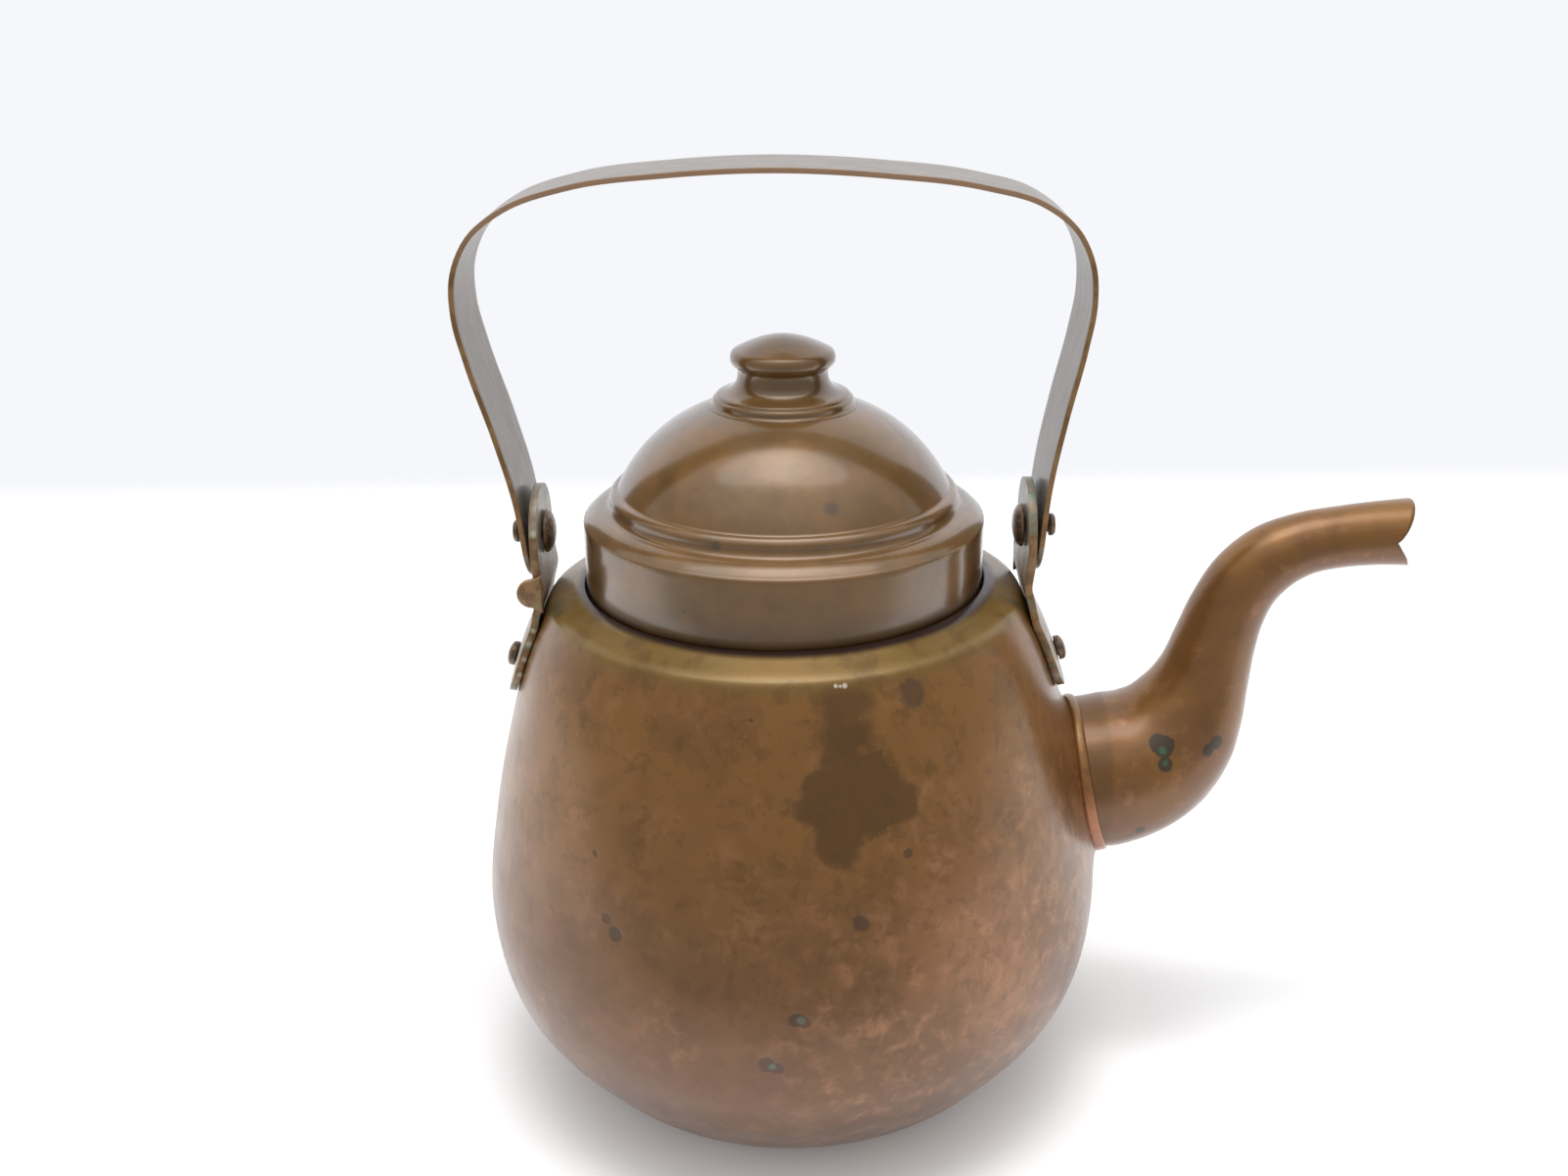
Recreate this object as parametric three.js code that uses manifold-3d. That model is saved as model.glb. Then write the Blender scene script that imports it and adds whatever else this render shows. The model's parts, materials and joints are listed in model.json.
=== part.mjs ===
// A small covered copper kettle: a spun body and lid, a swan-neck spout with a beak-cut tip,
// and a strap bail handle that swings on two riveted ears.
// Millimetres, +Z up. The origin is the middle of the flat base, and +X points along the spout.

import * as THREE from 'three';
import { mergeVertices } from 'three/addons/utils/BufferGeometryUtils.js';
import Module from 'manifold-3d';

const wasm = await Module();
wasm.setup();

// ---------------------------------------------------------------- driving dimensions

const GAP = 0.3; // clearance between pieces that touch on the real kettle
const FACETS = 36; // sides of a large turned piece
const SMALL_FACETS = 14; // sides of a rivet, a screw or a washer

// body
const WALL = 1.0;
const BASE_RADIUS = 41;
const RIDGE = { radius: 48, height: 106.4 };
const SHOULDER = { radius: 46.8, height: 107.3 }; // where the ridge's rounding meets the straight shoulder
const MOUTH = { radius: 40.9, height: 109.9 };
const BELLY = [
  [BASE_RADIUS, 0], [46.5, 3], [53.8, 10.5], [61.7, 22.5], [65, 40],
  [62.4, 60], [57.4, 80], [51.4, 98.6], [RIDGE.radius, RIDGE.height],
];

// ring under the mouth that the lid stands in
const SEAT = { ledgeHeight: 103.6, thickness: 1.0, innerRadius: 36.5, outerRadius: 42.3 };

// lid
const SHEET = 0.9;
const SKIRT = { radius: 40.15, top: 122.5 };
const DOME = { radius: 38.3, centre: 109.55, foot: 33.2 };
const CROWN = { radius: 14.2, height: 145.1 };
const SCREW_HOLE = 2.3;

// knob and its screw
const KNOB_FOOT = CROWN.height + GAP;
const KNOB_CAP = { radius: 10.3, top: 158.85 };
const KNOB_BORE = { radius: 1.9, depth: 7.5 };
const SCREW = { shank: 1.6, headRadius: 3.4, headHeight: 1.8, slot: 0.9 };
const WASHER = { innerRadius: 2.2, outerRadius: 5.5, thickness: 0.8 };

// spout: stations along its middle line, each [x, radius, z]
const SPOUT = [
  [50, 16.2, 61.0], [62.5, 16.2, 62.8], [69.6, 16.1, 63.9], [76, 14.9, 66.9], [80.9, 13, 71.9],
  [84.3, 11.1, 78.9], [86.5, 9.5, 85.8], [88.2, 8.4, 93.1], [90.3, 7.7, 100.4], [93.5, 7.3, 106.8],
  [98.2, 6.95, 111.5], [104.5, 6.4, 114.5], [111, 6.25, 115.8], [117.7, 6.4, 116.5], [125.1, 6.8, 116.8],
];
const SPOUT_STEPS = 26;
const SPOUT_SIDES = 18;
const NECK = 1.0; // how far the body's own metal is pulled out round the spout's hole
const COLLAR = { width: 1.5, proud: 0.3 };
const BEAK = { notch: 121.7, middle: 116.3, reach: 126.4, upper: 121.6, lower: 109.9 };

// handle, its pivots and the ears
const PIVOT = 119.3;
const STRAP = { width: 20.4, thickness: 1.2, endDrop: 8.7, steps: 46 };
const STRAP_LINE = [
  [-50.5, 108.6], [-51.0, PIVOT], [-51.9, 128], [-54.9, 141.2], [-59.2, 156.6], [-60.8, 165],
  [-60.3, 173], [-56.9, 179.6], [-50.2, 184.6], [-38.2, 188.4], [-20, 190.4], [-1.5, 191],
  [20, 189.7], [38, 187.2], [48.3, 184], [54.2, 179.4], [57.4, 173.2], [58.1, 165.5],
  [57, 157.5], [54.0, 143.6], [51.8, 130], [51.0, PIVOT], [50.5, 108.6],
];
const EAR = { thickness: 1.5, topRise: 9.7, foot: 86.3, footCorner: 6, overlap: 104 };
const EAR_LINE = [
  [49.2, PIVOT + 14], [49.2, 120], [49.15, 114.5], [48.8, 111.5], [48.6, 109.5], [49.1, 107], [50.3, 103.5],
];
const LUG = { reach: 52.4, low: 107.2, high: 112.5 };
const PIVOT_RIVET = { shank: 1.5, hole: 1.85, innerFace: 47.95, domeTip: 46.6, domeRadius: 4.1,
  outerFace: 53.5, outerTip: 54.7, outerRadius: 2.3 };
const EAR_RIVET = { height: 91.5, tilt: 18.5, shank: 1.6, hole: 1.9, headRadius: 2.6, headHeight: 1.8, tail: 1.2 };
const BURR = { radius: 3.6, thickness: 0.8, gap: 0.7 }; // a flat washer on a curved wall stands off it a little

// ---------------------------------------------------------------- materials

const copper = (color, roughness) => new THREE.MeshStandardMaterial({ color, roughness, metalness: 1 });
const bodyCopper = copper(0x9c6a4c, 0.42);
const lidCopper = copper(0x8a6436, 0.32);
const spoutCopper = copper(0x9a6a48, 0.38);
const strapCopper = copper(0x7d6a58, 0.5);
const earCopper = copper(0x7a6244, 0.5);
const rivetCopper = copper(0x6a5440, 0.5);
const solder = copper(0xc07850, 0.4);
const tinned = copper(0xa9a8a2, 0.45);
const brass = copper(0xa98a4c, 0.4);

// ---------------------------------------------------------------- helpers

// A closed geometry as a solid. Facets that collapse where a profile meets its axis are left out.
function solid(geometry) {
  geometry.deleteAttribute('normal');
  geometry.deleteAttribute('uv');
  const merged = mergeVertices(geometry, 1e-4);
  const corners = merged.index.array;
  const triangles = [];
  for (let i = 0; i < corners.length; i += 3) {
    const [a, b, c] = corners.slice(i, i + 3);
    if (a !== b && b !== c && a !== c) triangles.push(a, b, c);
  }
  return new wasm.Manifold(new wasm.Mesh({
    numProp: 3,
    vertProperties: new Float32Array(merged.attributes.position.array),
    triVerts: new Uint32Array(triangles),
  }));
}

function piece(name, body, material) {
  const shape = body.getMesh();
  const geometry = new THREE.BufferGeometry();
  geometry.setAttribute('position', new THREE.BufferAttribute(shape.vertProperties, 3));
  geometry.setIndex(new THREE.BufferAttribute(shape.triVerts, 1));
  geometry.computeVertexNormals();
  const mesh = new THREE.Mesh(geometry, material);
  mesh.name = name;
  return mesh;
}

// Turns a profile of [radius, height] points about +Z.
function turned(profile, facets = FACETS) {
  const points = profile.map(([radius, height]) => new THREE.Vector2(radius, height));
  return solid(new THREE.LatheGeometry(points, facets).rotateX(Math.PI / 2));
}

// The same about a line from a point along a direction; heights are measured along that line.
function turnedAlong(profile, start, direction, facets = SMALL_FACETS) {
  const points = profile.map(([radius, height]) => new THREE.Vector2(radius, height));
  const turn = new THREE.Quaternion().setFromUnitVectors(new THREE.Vector3(0, 1, 0), direction);
  const geometry = new THREE.LatheGeometry(points, facets).applyQuaternion(turn);
  return solid(geometry.translate(start.x, start.y, start.z));
}

const rod = (radius, from, to) => [[0, from], [radius, from], [radius, to], [0, to]];

// A domed head, from its flat face to its tip, as profile points.
function dome(radius, face, tip, steps = 3) {
  const points = [];
  for (let i = 0; i <= steps; i += 1) {
    const angle = (i / steps) * (Math.PI / 2);
    points.push([radius * Math.cos(angle), face + (tip - face) * Math.sin(angle)]);
  }
  return points;
}

// A shape drawn in X and Z, carried along Y from low to high.
function alongY(shape, low, high) {
  const geometry = new THREE.ExtrudeGeometry(shape, { depth: high - low, bevelEnabled: false, curveSegments: 7 });
  return solid(geometry.rotateX(Math.PI / 2).translate(0, high, 0));
}

// A shape drawn in Y and Z, carried along X from low to high.
function alongX(shape, low, high) {
  const axes = new THREE.Matrix4().makeBasis(
    new THREE.Vector3(0, 1, 0), new THREE.Vector3(0, 0, 1), new THREE.Vector3(1, 0, 0));
  const geometry = new THREE.ExtrudeGeometry(shape, { depth: high - low, bevelEnabled: false, curveSegments: 7 });
  return solid(geometry.applyMatrix4(axes).translate(low, 0, 0));
}

const outline = (points) => new THREE.Shape(points.map(([a, b]) => new THREE.Vector2(a, b)));
const smooth = (points) => new THREE.SplineCurve(points.map(([a, b]) => new THREE.Vector2(a, b)));

// Moves each point of an open line sideways, to the right of the way it runs.
function offset(points, distance) {
  return points.map(([a, b], i) => {
    const before = points[Math.max(i - 1, 0)];
    const after = points[Math.min(i + 1, points.length - 1)];
    const run = [after[0] - before[0], after[1] - before[1]];
    const length = Math.hypot(...run);
    return [a + (distance * run[1]) / length, b - (distance * run[0]) / length];
  });
}

// A sheet of one thickness, seen edge on, that lies on both sides of a line.
function strip(points, thickness) {
  return outline([...offset(points, thickness / 2), ...offset(points, -thickness / 2).reverse()]);
}

// ---------------------------------------------------------------- body

const bellyLine = smooth(BELLY).getPoints(15).map((p) => [p.x, p.y]);
const shoulderLine = [[SHOULDER.radius, SHOULDER.height], [MOUTH.radius, MOUTH.height]];
const bodyLine = [...bellyLine, ...shoulderLine];

// Everything inside the body's outer surface grown by a distance.
function bodyFilled(growth) {
  const grown = offset(bodyLine, growth);
  return turned([[0, grown[0][1]], ...grown, [0, grown.at(-1)[1]]]);
}

const bodyLayer = (low, high) => bodyFilled(high).subtract(bodyFilled(low));

function bodySheet() {
  const inside = offset(bodyLine, -WALL);
  inside[0] = [BASE_RADIUS, WALL];
  return turned([[0, 0], ...bodyLine, ...inside.reverse(), [0, WALL]]);
}

// ---------------------------------------------------------------- spout

const spoutLine = new THREE.CatmullRomCurve3(SPOUT.map(([x, radius, z]) => new THREE.Vector3(x, radius, z)));

// The filled tube along the spout's middle line, thicker or thinner than the spout by a distance.
function spoutFilled(growth) {
  const positions = [];
  const corners = [];
  for (let i = 0; i <= SPOUT_STEPS; i += 1) {
    const at = spoutLine.getPoint(i / SPOUT_STEPS);
    const along = spoutLine.getTangent(i / SPOUT_STEPS).setY(0).normalize();
    for (let j = 0; j < SPOUT_SIDES; j += 1) {
      const angle = (j / SPOUT_SIDES) * 2 * Math.PI;
      const up = (at.y + growth) * Math.cos(angle);
      positions.push(at.x - along.z * up, (at.y + growth) * Math.sin(angle), at.z + along.x * up);
    }
  }
  const ring = (i, j) => i * SPOUT_SIDES + (j % SPOUT_SIDES);
  for (let j = 0; j < SPOUT_SIDES; j += 1) {
    for (let i = 0; i < SPOUT_STEPS; i += 1) {
      corners.push(ring(i, j), ring(i + 1, j), ring(i, j + 1));
      corners.push(ring(i, j + 1), ring(i + 1, j), ring(i + 1, j + 1));
    }
    if (j > 0 && j < SPOUT_SIDES - 1) {
      corners.push(ring(0, 0), ring(0, j), ring(0, j + 1));
      corners.push(ring(SPOUT_STEPS, 0), ring(SPOUT_STEPS, j + 1), ring(SPOUT_STEPS, j));
    }
  }
  const geometry = new THREE.BufferGeometry();
  geometry.setAttribute('position', new THREE.Float32BufferAttribute(positions, 3));
  geometry.setIndex(corners);
  return solid(geometry);
}

const channel = spoutFilled(-WALL);
const collarStart = NECK + GAP;
const spoutStart = collarStart + COLLAR.width + GAP;

function spoutTube() {
  const beak = outline([[BEAK.notch, BEAK.middle], [BEAK.reach, BEAK.lower], [BEAK.reach, BEAK.upper]]);
  return spoutFilled(0).subtract(channel).subtract(bodyFilled(spoutStart)).subtract(alongY(beak, -10, 10));
}

function spoutCollar() {
  const half = bodyLayer(collarStart, collarStart + COLLAR.width).intersect(spoutFilled(COLLAR.proud));
  return half.subtract(channel);
}

function bodyShell() {
  const neck = bodyLayer(-WALL / 2, NECK).intersect(spoutFilled(0));
  return bodySheet().add(neck).subtract(channel);
}

function seatRing() {
  const { ledgeHeight, thickness, innerRadius, outerRadius } = SEAT;
  const ledge = [[innerRadius, ledgeHeight - thickness], [outerRadius, ledgeHeight - thickness]];
  const wall = [[outerRadius, 109], [outerRadius - thickness, 109], [outerRadius - thickness, ledgeHeight]];
  const ring = turned([...ledge, ...wall, [innerRadius, ledgeHeight], ledge[0]]);
  return ring.intersect(bodyFilled(-WALL - GAP));
}

// ---------------------------------------------------------------- lid and knob

function lidLine() {
  const points = [[SCREW_HOLE, CROWN.height], [CROWN.radius - 1.2, CROWN.height]];
  const first = Math.asin(CROWN.radius / DOME.radius);
  const last = Math.asin(DOME.foot / DOME.radius);
  const steps = 7;
  for (let i = 0; i <= steps; i += 1) {
    const angle = first + ((last - first) * i) / steps;
    points.push([DOME.radius * Math.sin(angle), DOME.centre + DOME.radius * Math.cos(angle)]);
  }
  const bead = [[33.9, 128.4], [34.5, 127.9], [34.7, 127.2]];
  const cove = [[34.8, 126.2], [35.5, 125.2]];
  const roll = [[36.9, 124.6], [38.4, 123.9], [39.6, 123.1]];
  return [...points, ...bead, ...cove, ...roll, [SKIRT.radius, SKIRT.top]];
}

function lidShell() {
  const line = lidLine();
  const foot = SEAT.ledgeHeight + GAP;
  const inside = offset(line, SHEET);
  inside[0] = [SCREW_HOLE, CROWN.height - SHEET];
  inside[inside.length - 1] = [SKIRT.radius - SHEET, SKIRT.top - SHEET];
  const skirt = [[SKIRT.radius, foot], [SKIRT.radius - SHEET, foot]];
  return turned([...line, ...skirt, ...inside.reverse(), line[0]].reverse());
}

function lidKnob() {
  const { radius, top } = KNOB_CAP;
  const bead = [[13.5, KNOB_FOOT], [13.8, 146.0], [13.6, 146.8], [13.0, 147.4]];
  const cove = [[11.3, 147.9], [9.8, 148.7], [9.1, 149.8], [8.9, 151]];
  const cap = [[9.1, 152.3], [9.8, 153], [radius, 153.9], [radius, 154.8], [9.9, 155.6], [9.2, 156.1]];
  const crown = [[7.2, 157.1], [4.9, 158], [2.4, 158.6], [0, top]];
  const knob = turned([[0, KNOB_FOOT], ...bead, ...cove, ...cap, ...crown], 24);
  return knob.subtract(turned(rod(KNOB_BORE.radius, KNOB_FOOT - 1, KNOB_FOOT + KNOB_BORE.depth), SMALL_FACETS));
}

const washerTop = CROWN.height - SHEET - GAP;
const screwFace = washerTop - WASHER.thickness - GAP;

function knobWasher() {
  const { innerRadius, outerRadius, thickness } = WASHER;
  const low = washerTop - thickness;
  return turned([[innerRadius, low], [outerRadius, low], [outerRadius, washerTop], [innerRadius, washerTop],
    [innerRadius, low]], SMALL_FACETS);
}

function knobScrew() {
  const { shank, headRadius, headHeight, slot } = SCREW;
  const tip = KNOB_FOOT + KNOB_BORE.depth - 1;
  const low = screwFace - headHeight;
  const screw = turned([[0, low], [headRadius, low], [headRadius, screwFace], [shank, screwFace], [shank, tip],
    [0, tip]], SMALL_FACETS);
  const driver = outline([[-headRadius - 1, low - 1], [headRadius + 1, low - 1], [headRadius + 1, low + slot],
    [-headRadius - 1, low + slot]]);
  return screw.subtract(alongY(driver, -slot / 2, slot / 2));
}

// ---------------------------------------------------------------- ears: one blank, used twice

const X_AXIS = new THREE.Vector3(1, 0, 0);
const pivotStart = new THREE.Vector3(0, 0, PIVOT);
const tilt = THREE.MathUtils.degToRad(EAR_RIVET.tilt);
const rivetAxis = new THREE.Vector3(Math.cos(tilt), 0, Math.sin(tilt));

// The point on the body's outer surface behind the ear rivet.
function rivetSeat() {
  const upper = bodyLine.findIndex(([, height]) => height > EAR_RIVET.height);
  const [below, above] = [bodyLine[upper - 1], bodyLine[upper]];
  const share = (EAR_RIVET.height - below[1]) / (above[1] - below[1]);
  return new THREE.Vector3(below[0] + (above[0] - below[0]) * share, 0, EAR_RIVET.height);
}

const rivetStart = rivetSeat();

// A round-ended blank in Y and Z, with its upper end round the pivot.
function roundTopped(low) {
  const half = STRAP.width / 2;
  const shape = new THREE.Shape();
  shape.moveTo(-half, low).lineTo(half, low).lineTo(half, PIVOT);
  shape.absellipse(0, PIVOT, half, EAR.topRise, 0, Math.PI, false);
  return shape;
}

function earFootShape() {
  const half = STRAP.width / 2;
  const { foot, footCorner } = EAR;
  const shape = new THREE.Shape();
  shape.moveTo(-half, foot + footCorner);
  shape.absarc(-half + footCorner, foot + footCorner, footCorner, Math.PI, 1.5 * Math.PI, false);
  shape.absarc(half - footCorner, foot + footCorner, footCorner, 1.5 * Math.PI, 2 * Math.PI, false);
  return shape.lineTo(half, EAR.overlap + 2).lineTo(-half, EAR.overlap + 2);
}

// The stop lug, folded out square from one edge of the ear.
function lug(side) {
  const middle = (LUG.low + LUG.high) / 2;
  const radius = (LUG.high - LUG.low) / 2;
  const shape = new THREE.Shape();
  shape.moveTo(48, LUG.low).lineTo(LUG.reach - radius, LUG.low);
  shape.absarc(LUG.reach - radius, middle, radius, -Math.PI / 2, Math.PI / 2, false);
  shape.lineTo(48, LUG.high);
  const inner = STRAP.width / 2 - 0.4;
  const outer = inner + EAR.thickness;
  return side > 0 ? alongY(shape, inner, outer) : alongY(shape, -outer, -inner);
}

// The ear on the +X side, with its lug on the +Y edge.
function ear() {
  const upper = alongY(strip(smooth(EAR_LINE).getPoints(12).map((p) => [p.x, p.y]), EAR.thickness),
    -STRAP.width / 2, STRAP.width / 2).intersect(alongX(roundTopped(EAR.overlap), 40, 60));
  const lower = bodyLayer(GAP, GAP + EAR.thickness).intersect(alongX(earFootShape(), 40, 70));
  return upper.add(lower).add(lug(1)).subtract(bodyFilled(GAP))
    .subtract(turnedAlong(rod(PIVOT_RIVET.hole, 40, 60), pivotStart, X_AXIS))
    .subtract(turnedAlong(rod(EAR_RIVET.hole, -5, 8), rivetStart, rivetAxis));
}

function earRivet() {
  const { shank, headRadius, headHeight, tail } = EAR_RIVET;
  const face = 2 * GAP + EAR.thickness;
  const inner = -WALL - BURR.gap - BURR.thickness - GAP;
  return turnedAlong([[0, inner - tail], [shank + 0.8, inner - tail], [shank + 0.8, inner], [shank, inner],
    [shank, face], ...dome(headRadius, face, face + headHeight)], rivetStart, rivetAxis);
}

function earWasher() {
  const top = -WALL - BURR.gap;
  const low = top - BURR.thickness;
  const hole = EAR_RIVET.hole;
  return turnedAlong([[hole, low], [BURR.radius, low], [BURR.radius, top], [hole, top], [hole, low]],
    rivetStart, rivetAxis);
}

// ---------------------------------------------------------------- handle

function handleStrap() {
  const half = STRAP.width / 2;
  const line = smooth(STRAP_LINE).getSpacedPoints(STRAP.steps).map((p) => [p.x, p.y]);
  const bar = alongY(strip(line, STRAP.thickness), -half, half);
  const holes = turnedAlong(rod(PIVOT_RIVET.hole, -60, 60), pivotStart, X_AXIS);
  const top = Math.max(...line.map(([, height]) => height)) + STRAP.thickness;
  const keep = new THREE.Shape();
  keep.moveTo(-half, top).lineTo(-half, PIVOT);
  keep.absellipse(0, PIVOT, half, STRAP.endDrop, Math.PI, 2 * Math.PI, false);
  keep.lineTo(half, top);
  return bar.intersect(alongX(keep, -70, 70)).subtract(holes);
}

// The pivot on the +X side: a domed head inside the ear and a small peened head outside the strap.
function pivotRivet() {
  const { shank, innerFace, domeTip, domeRadius, outerFace, outerTip, outerRadius } = PIVOT_RIVET;
  return turnedAlong([...dome(domeRadius, innerFace, domeTip).reverse(), [shank, innerFace], [shank, outerFace],
    [outerRadius, outerFace], [outerRadius, outerTip - 0.3], [outerRadius - 0.4, outerTip], [0, outerTip]],
  pivotStart, X_AXIS);
}

// ---------------------------------------------------------------- assembly

const HALF_TURN = Math.PI;

function side(name) {
  const group = new THREE.Group();
  group.add(piece(`${name}_ear`, ear(), earCopper));
  group.add(piece(`${name}_ear_rivet`, earRivet(), rivetCopper));
  group.add(piece(`${name}_ear_washer`, earWasher(), tinned));
  group.add(piece(`${name}_pivot_rivet`, pivotRivet(), rivetCopper));
  return group;
}

function kettle() {
  const group = new THREE.Group();
  const earHoles = [0, HALF_TURN].map((turn) => turnedAlong(rod(EAR_RIVET.hole, -8, 8), rivetStart, rivetAxis)
    .rotate([0, 0, THREE.MathUtils.radToDeg(turn)]));
  const shell = earHoles.reduce((body, hole) => body.subtract(hole), bodyShell());
  group.add(piece('body_shell', shell, bodyCopper));
  group.add(piece('lid_seat_ring', seatRing(), tinned));
  group.add(piece('spout_tube', spoutTube(), spoutCopper));
  group.add(piece('spout_collar', spoutCollar(), solder));
  group.add(piece('handle_strap', handleStrap(), strapCopper));
  group.add(piece('lid_shell', lidShell(), lidCopper));
  group.add(piece('lid_knob', lidKnob(), lidCopper));
  group.add(piece('knob_screw', knobScrew(), brass));
  group.add(piece('knob_washer', knobWasher(), tinned));
  const left = side('left');
  left.rotation.z = HALF_TURN;
  group.add(side('right'), left);
  return group;
}

export default kettle();
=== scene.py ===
import json
from math import asin, cos, hypot, pi, radians, sin, sqrt

import bmesh
import bpy
from bpy.props import BoolProperty, FloatProperty, FloatVectorProperty, IntProperty, PointerProperty
from mathutils import Matrix, Vector


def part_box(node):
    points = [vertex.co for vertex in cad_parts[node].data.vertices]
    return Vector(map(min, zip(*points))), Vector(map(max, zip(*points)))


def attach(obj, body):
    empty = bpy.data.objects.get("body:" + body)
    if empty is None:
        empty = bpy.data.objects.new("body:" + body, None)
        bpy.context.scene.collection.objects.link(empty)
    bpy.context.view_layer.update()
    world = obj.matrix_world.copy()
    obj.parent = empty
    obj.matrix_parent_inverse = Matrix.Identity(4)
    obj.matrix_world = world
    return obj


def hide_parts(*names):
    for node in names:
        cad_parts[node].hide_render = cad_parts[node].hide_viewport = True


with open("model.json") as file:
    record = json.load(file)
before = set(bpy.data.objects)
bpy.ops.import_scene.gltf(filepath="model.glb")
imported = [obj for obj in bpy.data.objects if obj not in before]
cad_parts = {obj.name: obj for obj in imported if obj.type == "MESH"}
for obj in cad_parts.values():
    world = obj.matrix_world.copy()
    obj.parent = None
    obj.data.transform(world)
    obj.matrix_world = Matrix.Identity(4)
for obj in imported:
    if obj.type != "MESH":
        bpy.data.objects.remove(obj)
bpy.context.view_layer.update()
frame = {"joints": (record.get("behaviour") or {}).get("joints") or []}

bl_info = {
    "name": "Copper kettle",
    "version": (1, 0, 0),
    "blender": (4, 5, 0),
    "location": "View3D > Sidebar > Kettle",
    "description": "Fine surfaces and copper finishes for a covered kettle with a strap handle",
    "category": "Object",
}

MM = 0.001  # the sizes below are in millimetres, and Blender's in metres


def top_of(node):
    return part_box(node)[1].z / MM


# ---------------------------------------------------------------- driving sizes, millimetres

WALL = 1.0  # copper sheet of the body and the spout
LID_SHEET = 0.9
BELLY = [(41.4, 0.7), (46.5, 3), (53.8, 10.5), (61.7, 22.5), (65, 40), (62.5, 60), (57.7, 80), (51.7, 98.6),
         (49, 104.4), (48.35, 105.8), (47.8, 106.7), (46.8, 107.35), (45.2, 108.05)]
MOUTH = (40.9, top_of("body_shell"))
SEAT_LEDGE = 103.0

SPOUT = [(50, 16.2, 61.3), (62.5, 16.2, 63.1), (69.6, 16.3, 64.3), (75.8, 15.8, 67.3), (80.5, 14.0, 72.1),
         (84.2, 11.55, 78.9), (86.5, 9.5, 85.8), (88.2, 8.4, 93.1), (90.3, 7.7, 100.4), (93.5, 7.3, 106.8),
         (98.2, 6.95, 111.5), (104.5, 6.4, 114.5), (111, 6.25, 115.8), (117.7, 6.4, 116.5),
         (125.3, 6.8, 116.8)]
SPOUT_RADIUS = 16.2
LIP_DEPTH = 4.2  # how deep the notch of the beak is
FLARE = 8.0  # width of the body's metal that is drawn out round the spout
NECK = 1.3
COLLAR = 1.8
BEAK_ROWS = 9  # rings of the spout that the notch is cut into
ROOT_PASSES = 14  # how often a root ring moves until it stands at its distance
# the rows between root and bend, the rows smoothed after them, how often, and where the inside starts
BEND = {"shares": (0.15, 0.3, 0.45, 0.6, 0.75, 0.9), "smoothed": 26, "passes": 24, "inside_from": 4}

DOME = {"radius": 38.3, "centre": 109.55, "top": 14.3, "foot": 33.2, "bulge": 0.45}
SKIRT = {"radius": 40.15, "edge": 122.55, "foot": 104.6}

PIVOT = frame["joints"][0]["pos_m"][2] / MM
HALF_WIDTH = (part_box("handle_strap")[1].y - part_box("handle_strap")[0].y) / MM / 2
STRAP_THICKNESS = 1.0
STRAP_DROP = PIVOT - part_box("handle_strap")[0].z / MM
STRAP_LEFT = [(-50.45, PIVOT - STRAP_DROP), (-51.0, PIVOT), (-51.95, 128), (-54.9, 141.2), (-59.1, 156.6),
              (-60.7, 165), (-60.2, 173), (-56.8, 179.7), (-50.1, 184.7), (-38.2, 188.5), (-20, 190.5)]
STRAP_RIGHT = [(-1.5, 191.1), (20, 189.8), (38.3, 187.3), (48.9, 184.1), (54.9, 179.5), (58.1, 173.2),
               (58.8, 165.5), (57.6, 157.5), (54.5, 143.6), (52, 130), (51.0, PIVOT),
               (50.45, PIVOT - STRAP_DROP)]

EAR_THICKNESS = 1.5
EAR_GAP = 0.3  # between the ear's foot and the body
EAR_TOP = 9.7  # rise of the ear's round top over the pivot
EAR_FOOT = 86.3
EAR_CORNER = 6.0
EAR_LINE = [(49.2, 120), (49.15, 114.5), (48.8, 111.5), (48.6, 109.5), (49.1, 107)]
LUG = {"reach": 53.1, "low": 106.8, "high": 112.7}
EAR_RIVET_HEIGHT = 91.5
EAR_RIVET_TILT = 18.5

# where an old kettle gives way: up its height, out toward the spout, and from front to rear
GIVES = {"height": (45, 100), "reach": (58, 78), "depth": (-20, 45)}


# ---------------------------------------------------------------- what a user may change

class KettleSizes(bpy.types.PropertyGroup):
    sides: IntProperty(name="Sides", description="Sides of a large turned piece", default=256, min=48,
                       max=512)
    edge: FloatProperty(name="Edge", description="Width of the rounding on cut sheet edges",
                        default=0.25 * MM, unit="LENGTH")
    lean_right: FloatProperty(name="Lid lean to the right",
                              description="How far the lid sits down to the right",
                              default=radians(0.7), unit="ROTATION")
    lean_front: FloatProperty(name="Lid lift at the front",
                              description="How far the lid sits up at the front",
                              default=radians(0.65), unit="ROTATION")
    settle: FloatProperty(name="Settling",
                          description="How far the upper kettle has moved away from the spout",
                          default=0.45 * MM, unit="LENGTH")
    sink: FloatProperty(name="Sinking", description="How far the rear of the shoulder has sunk",
                        default=0.8 * MM, unit="LENGTH")


def colour(hexadecimal):
    """An sRGB hex value as the linear colour that a shader takes."""
    parts = [int(hexadecimal[i:i + 2], 16) / 255 for i in (1, 3, 5)]
    return (*[p / 12.92 if p <= 0.04045 else ((p + 0.055) / 1.055) ** 2.4 for p in parts], 1.0)


def tone(name, description, value):
    return FloatVectorProperty(name=name, description=description, default=colour(value), size=4,
                               subtype="COLOR", min=0, max=1)


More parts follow.
